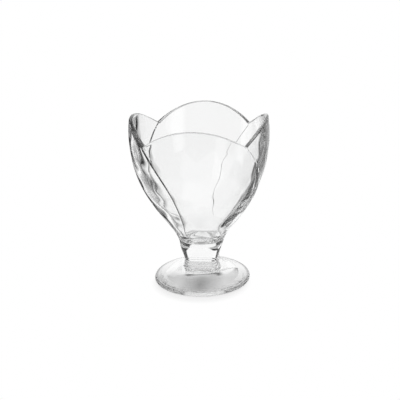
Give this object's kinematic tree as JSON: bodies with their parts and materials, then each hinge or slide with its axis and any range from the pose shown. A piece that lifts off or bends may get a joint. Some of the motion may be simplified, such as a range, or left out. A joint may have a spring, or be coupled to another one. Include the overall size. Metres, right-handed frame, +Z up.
{
  "type": "footed dessert glass",
  "caption": "Clear pressed-glass dessert dish: tulip bowl of lapped petals with a scalloped rim, on a short squared stem, ringed collar and round hollow foot.",
  "frame": {"origin": "middle of the foot, on the table", "axes": "+Z up along the stem's axis, -Y towards the middle of the front petal, +X to the right seen from the front"},
  "size_m": [0.0952, 0.0952, 0.1184],
  "materials": {
    "clear_glass": "clear pressed soda-lime glass with a fire-polished gloss"
  },
  "bodies": {
    "root": {"foot": "clear_glass", "collar": "clear_glass", "stem": "clear_glass", "bowl_base": "clear_glass", "petal_front": "clear_glass", "petal_right": "clear_glass", "petal_back": "clear_glass", "petal_left": "clear_glass"}
  },
  "joints": []
}
